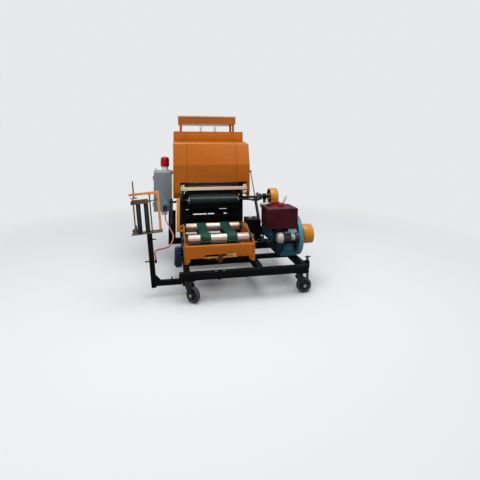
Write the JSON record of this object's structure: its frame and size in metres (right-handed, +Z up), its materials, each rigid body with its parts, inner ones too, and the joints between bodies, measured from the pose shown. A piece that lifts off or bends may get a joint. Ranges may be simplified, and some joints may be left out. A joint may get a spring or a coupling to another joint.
{
  "type": "stationary bale wrapper with round baler",
  "caption": "Stationary round baler with a turning bale wrapping table, film stand, discharge conveyor, control cabinet and its own diesel engine, on casters.",
  "frame": {"origin": "middle of the machine's footprint at floor level", "axes": "+X towards the engine side, +Y from the wrapping table towards the feed side, +Z up"},
  "size_m": [2.0436, 2.7536, 2.02],
  "materials": {
    "black_paint": "satin",
    "caster_rubber": "matte",
    "blue_paint": "satin",
    "orange_paint": "satin",
    "green_belt": "satin",
    "zinc_plate": "satin",
    "roller_rubber": "satin",
    "teal_paint": "gloss",
    "maroon_paint": "gloss",
    "dark_fittings": "satin",
    "yellow_paint": "gloss",
    "bare_steel": "satin",
    "grey_paint": "satin",
    "pale_plastic": "matte",
    "red_lens": "gloss",
    "red_hose": "matte"
  },
  "bodies": {
    "chassis": {"base_frame": "black_paint", "cross_members": "black_paint", "base_brackets": "black_paint", "table_bearing": "black_paint", "gearmotor": "blue_paint", "film_stand": "black_paint", "film_head": "zinc_plate", "film_bar": "orange_paint", "baler_frame": "black_paint", "baler_brackets": "black_paint", "chamber_walls": "orange_paint", "chamber_rollers": "zinc_plate", "drive_covers": "orange_paint", "upper_hood": "orange_paint", "twine_box": "orange_paint", "twine_guides": "zinc_plate", "cross_bar": "zinc_plate", "feed_hopper": "orange_paint", "conveyor_frame": "black_paint", "conveyor_belt": "green_belt", "engine_block": "teal_paint", "engine_tank": "maroon_paint", "engine_fittings": "dark_fittings", "cabinet": "grey_paint", "beacon_base": "pale_plastic", "beacon": "red_lens", "junction_box": "pale_plastic", "hose": "red_hose"},
    "caster_front_left": {"fork_front_left": "black_paint"},
    "roller_front_left": {"wheel_front_left": "caster_rubber"},
    "caster_front_right": {"fork_front_right": "black_paint"},
    "roller_front_right": {"wheel_front_right": "caster_rubber"},
    "caster_rear_left": {"fork_rear_left": "black_paint"},
    "roller_rear_left": {"wheel_rear_left": "caster_rubber"},
    "caster_rear_right": {"fork_rear_right": "black_paint"},
    "roller_rear_right": {"wheel_rear_right": "caster_rubber"},
    "leg": {"levelling_leg": "black_paint"},
    "table": {"table_frame": "orange_paint", "guard_post": "orange_paint", "table_belts": "green_belt"},
    "table_roller_front": {"table_roller_front": "zinc_plate"},
    "table_roller_rear": {"table_roller_rear": "zinc_plate"},
    "stretcher_left": {"stretch_roller_left": "roller_rubber"},
    "stretcher_right": {"stretch_roller_right": "roller_rubber"},
    "roll_spindle": {"film_spindle": "zinc_plate"},
    "conveyor_drum_front": {"conveyor_roller_front": "zinc_plate"},
    "conveyor_drum_rear": {"conveyor_roller_rear": "zinc_plate"},
    "rotor": {"feed_rotor": "zinc_plate"},
    "front_door": {"door": "orange_paint", "door_rollers": "zinc_plate"},
    "cylinder_left": {"barrel_left": "black_paint"},
    "piston_left": {"rod_left": "zinc_plate"},
    "cylinder_right": {"barrel_right": "black_paint"},
    "piston_right": {"rod_right": "zinc_plate"},
    "crankshaft": {"flywheel": "teal_paint", "engine_pulley": "yellow_paint"},
    "drive_shaft": {"baler_shaft": "bare_steel", "baler_pulley": "yellow_paint"},
    "control_door": {"cabinet_door": "grey_paint"}
  },
  "joints": [
    {"name": "swivel_front_left", "type": "hinge", "parent": "chassis", "child": "caster_front_left", "pos_m": [-0.40916, -1.27818, 0.2], "axis": [0, 0, 1], "continuous": true},
    {"name": "roll_front_left", "type": "hinge", "parent": "caster_front_left", "child": "roller_front_left", "pos_m": [-0.37734, -1.31, 0.08], "axis": [0.7071, 0.7071, 0], "continuous": true},
    {"name": "swivel_front_right", "type": "hinge", "parent": "chassis", "child": "caster_front_right", "pos_m": [0.75084, -1.27818, 0.2], "axis": [0, 0, 1], "continuous": true},
    {"name": "roll_front_right", "type": "hinge", "parent": "caster_front_right", "child": "roller_front_right", "pos_m": [0.79584, -1.27818, 0.08], "axis": [0, 1, 0], "continuous": true},
    {"name": "swivel_rear_left", "type": "hinge", "parent": "chassis", "child": "caster_rear_left", "pos_m": [-0.41116, 0.87182, 0.2], "axis": [0, 0, 1], "continuous": true},
    {"name": "roll_rear_left", "type": "hinge", "parent": "caster_rear_left", "child": "roller_rear_left", "pos_m": [-0.41116, 0.82682, 0.08], "axis": [1, 0, 0], "continuous": true},
    {"name": "swivel_rear_right", "type": "hinge", "parent": "chassis", "child": "caster_rear_right", "pos_m": [0.79584, 0.52182, 0.2], "axis": [0, 0, 1], "continuous": true},
    {"name": "roll_rear_right", "type": "hinge", "parent": "caster_rear_right", "child": "roller_rear_right", "pos_m": [0.79584, 0.47682, 0.08], "axis": [1, 0, 0], "continuous": true},
    {"name": "leg_height", "type": "slide", "parent": "chassis", "child": "leg", "axis": [0, 0, 1], "range_m": [-0.028, 0.1]},
    {"name": "table_turn", "type": "hinge", "parent": "chassis", "child": "table", "pos_m": [-0.10016, -0.87318, 0.38], "axis": [0, 0, 1], "continuous": true},
    {"name": "table_roll_front", "type": "hinge", "parent": "table", "child": "table_roller_front", "pos_m": [-0.10016, -1.14818, 0.585], "axis": [1, 0, 0], "continuous": true},
    {"name": "table_roll_rear", "type": "hinge", "parent": "table", "child": "table_roller_rear", "pos_m": [-0.10016, -0.59818, 0.585], "axis": [1, 0, 0], "continuous": true},
    {"name": "stretch_left", "type": "hinge", "parent": "chassis", "child": "stretcher_left", "pos_m": [-0.90652, -1.12818, 0.76257], "axis": [-0.0854, 0, 0.9963], "continuous": true},
    {"name": "stretch_right", "type": "hinge", "parent": "chassis", "child": "stretcher_right", "pos_m": [-0.8298, -1.12818, 0.76915], "axis": [-0.0854, 0, 0.9963], "continuous": true},
    {"name": "spindle_turn", "type": "hinge", "parent": "chassis", "child": "roll_spindle", "pos_m": [-0.94651, -1.02318, 0.67885], "axis": [-0.0854, 0, 0.9963], "continuous": true},
    {"name": "conveyor_roll_front", "type": "hinge", "parent": "chassis", "child": "conveyor_drum_front", "pos_m": [-0.05616, -0.32518, 0.866], "axis": [1, 0, 0], "continuous": true},
    {"name": "conveyor_roll_rear", "type": "hinge", "parent": "chassis", "child": "conveyor_drum_rear", "pos_m": [-0.05616, 0.51682, 0.866], "axis": [1, 0, 0], "continuous": true},
    {"name": "rotor_turn", "type": "hinge", "parent": "chassis", "child": "rotor", "pos_m": [-0.05616, 0.72682, 1.272], "axis": [1, 0, 0], "continuous": true},
    {"name": "door_swing", "type": "hinge", "parent": "chassis", "child": "front_door", "pos_m": [-0.05616, 0.24682, 1.65], "axis": [-1, 0, 0], "range_deg": [0, 42]},
    {"name": "cylinder_turn_left", "type": "hinge", "parent": "chassis", "child": "cylinder_left", "pos_m": [-0.59116, -0.39818, 0.865], "axis": [1, 0, 0], "range_deg": [-0.5, 32.65]},
    {"name": "piston_slide_left", "type": "slide", "parent": "cylinder_left", "child": "piston_left", "axis": [0, 0.6314, 0.7754], "range_m": [-0.001, 0.2586]},
    {"name": "cylinder_turn_right", "type": "hinge", "parent": "chassis", "child": "cylinder_right", "pos_m": [0.47884, -0.39818, 0.865], "axis": [1, 0, 0], "range_deg": [-0.5, 32.65]},
    {"name": "piston_slide_right", "type": "slide", "parent": "cylinder_right", "child": "piston_right", "axis": [0, 0.6314, 0.7754], "range_m": [-0.001, 0.2586]},
    {"name": "crank_turn", "type": "hinge", "parent": "chassis", "child": "crankshaft", "pos_m": [0.87584, -0.94318, 0.538], "axis": [1, 0, 0], "continuous": true},
    {"name": "drive_turn", "type": "hinge", "parent": "chassis", "child": "drive_shaft", "pos_m": [0.82584, 0.37682, 0.79], "axis": [1, 0, 0], "continuous": true},
    {"name": "cabinet_swing", "type": "hinge", "parent": "chassis", "child": "control_door", "pos_m": [-0.83116, 0.00982, 0.96], "axis": [0, 0, -1], "range_deg": [0, 110]}
  ],
  "couplings": [
    {"joint": "cylinder_turn_left", "follows": "door_swing", "ratio": 0.76537},
    {"joint": "piston_slide_left", "follows": "door_swing", "m_per_rad": 0.34998},
    {"joint": "cylinder_turn_right", "follows": "door_swing", "ratio": 0.76537},
    {"joint": "piston_slide_right", "follows": "door_swing", "m_per_rad": 0.34998}
  ]
}
